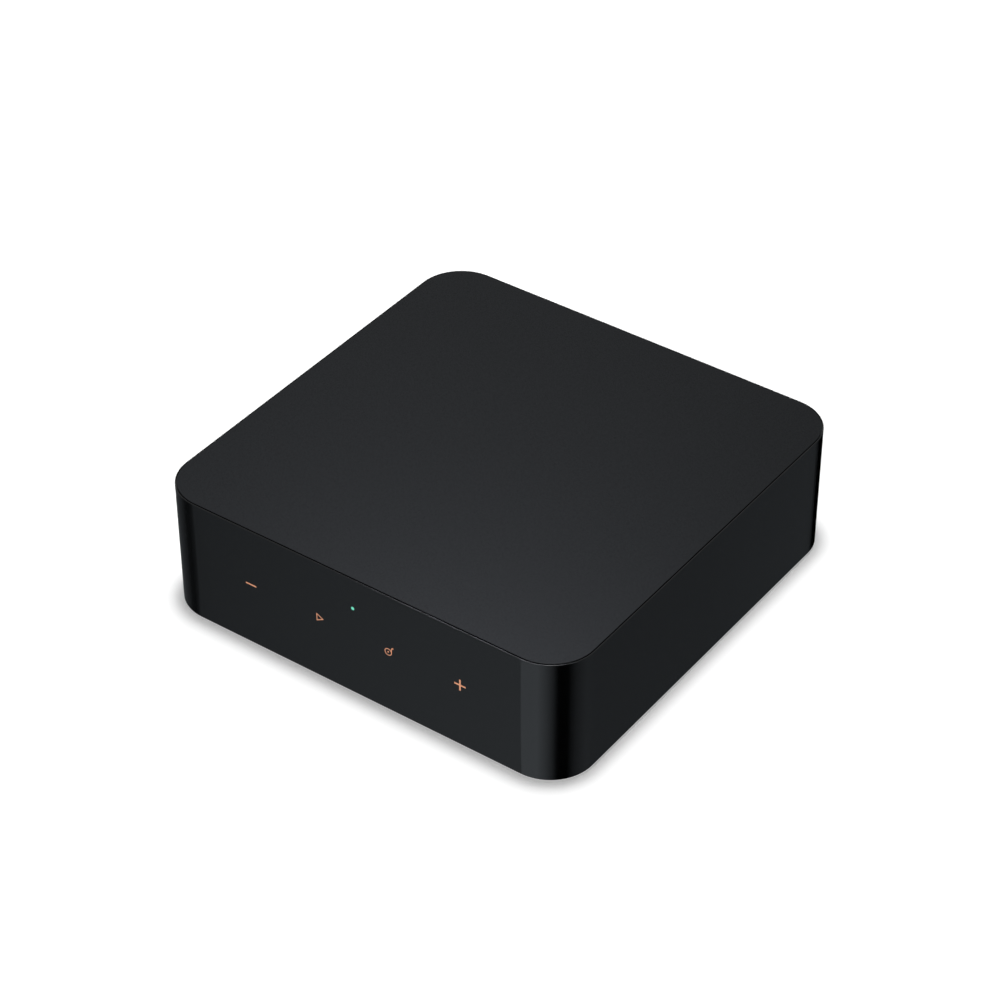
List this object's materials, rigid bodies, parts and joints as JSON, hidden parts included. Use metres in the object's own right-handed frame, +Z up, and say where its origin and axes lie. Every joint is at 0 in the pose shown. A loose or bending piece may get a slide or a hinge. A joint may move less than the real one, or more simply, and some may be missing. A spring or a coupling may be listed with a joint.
{
  "type": "network music streamer",
  "caption": "Low square shelf-top network music streamer with a matte top, touch controls on the gloss front wall and sockets at the rear.",
  "frame": {"origin": "centre of the square body's footprint, on the surface that the foot ring stands on", "axes": "+X to the right seen from the front, -Y towards the front wall with the touch controls, +Z up"},
  "size_m": [0.14, 0.148, 0.042],
  "materials": {
    "gloss_black": "satin to gloss black moulding",
    "matte_black": "fine matte black",
    "cover_black": "fine spark-eroded black",
    "foot_rubber": "soft black rubber",
    "screw_steel": "zinc plated",
    "board_mask": "solder mask over glass laminate",
    "chip_black": "moulded epoxy",
    "capacitor_can": "drawn can",
    "inductor_grey": "pressed ferrite",
    "can_tin": "tinned sheet",
    "plug_gold": "gilt",
    "antenna_film": "copper under film",
    "lead_black": "smooth jacket",
    "pad_grey": "conductive foam",
    "led_white": "clear resin",
    "light_clear": "clear light guide",
    "ribbon_white": "laminated film",
    "socket_black": "moulded nylon",
    "socket_white": "moulded nylon",
    "socket_red": "moulded nylon",
    "socket_orange": "moulded nylon",
    "nickel": "bright nickel",
    "contact_gold": "gilt",
    "shutter_grey": "moulded nylon",
    "pin_steel": "drawn wire",
    "lens_red": "clear tinted resin"
  },
  "bodies": {
    "streamer": {"antenna_lead_left": "lead_black", "antenna_lead_right": "lead_black", "antenna_left": "antenna_film", "antenna_plugs": "plug_gold", "antenna_right": "antenna_film", "audio_converters": "chip_black", "board_screws": "screw_steel", "bottom_cover": "cover_black", "capacitors": "capacitor_can", "coax_out_barrels": "nickel", "coax_out_block": "socket_black", "coax_out_contacts": "contact_gold", "coax_out_insert": "socket_orange", "cover_screws": "screw_steel", "foot_ring": "foot_rubber", "housing": "gloss_black", "inductors": "inductor_grey", "light_guide": "light_clear", "line_amplifiers": "chip_black", "line_in_barrels": "nickel", "line_in_block": "socket_black", "line_in_contacts": "contact_gold", "line_in_left_insert": "socket_white", "line_in_right_insert": "socket_red", "line_out_barrels": "nickel", "line_out_block": "socket_black", "line_out_contacts": "contact_gold", "line_out_left_insert": "socket_white", "line_out_right_insert": "socket_red", "main_board": "board_mask", "memory_chips": "chip_black", "network_jack_contacts": "contact_gold", "network_jack_insert": "socket_black", "network_jack_shell": "nickel", "optical_in_body": "socket_black", "optical_in_hinge_pin": "pin_steel", "optical_in_module": "lens_red", "optical_in_spring": "pin_steel", "optical_out_body": "socket_black", "optical_out_hinge_pin": "pin_steel", "optical_out_module": "lens_red", "optical_out_spring": "pin_steel", "power_inlet_shell": "nickel", "power_inlet_tongue": "socket_black", "processor": "chip_black", "radio_chip": "chip_black", "ribbon_cable": "ribbon_white", "ribbon_sockets": "socket_white", "screening_can": "can_tin", "status_led": "led_white", "top_plate": "matte_black", "touch_board": "board_mask", "touch_pads": "pad_grey", "trigger_jack_body": "socket_black", "trigger_jack_sleeve": "nickel", "wireless_board": "board_mask"},
    "optical_in_door": {"optical_in_shutter": "shutter_grey"},
    "optical_out_door": {"optical_out_shutter": "shutter_grey"}
  },
  "joints": [
    {"name": "optical_in_shutter_hinge", "type": "hinge", "parent": "streamer", "child": "optical_in_door", "pos_m": [-0.03756, 0.06665, 0.0175], "axis": [-1, 0, 0], "range_deg": [0, 90], "stiffness_Nm_per_rad": 0.002, "springref_deg": -20.05, "deforming": ["optical_in_spring"]},
    {"name": "optical_out_shutter_hinge", "type": "hinge", "parent": "streamer", "child": "optical_out_door", "pos_m": [-0.00947, 0.06665, 0.0175], "axis": [-1, 0, 0], "range_deg": [0, 90], "stiffness_Nm_per_rad": 0.002, "springref_deg": -20.05, "deforming": ["optical_out_spring"]}
  ]
}
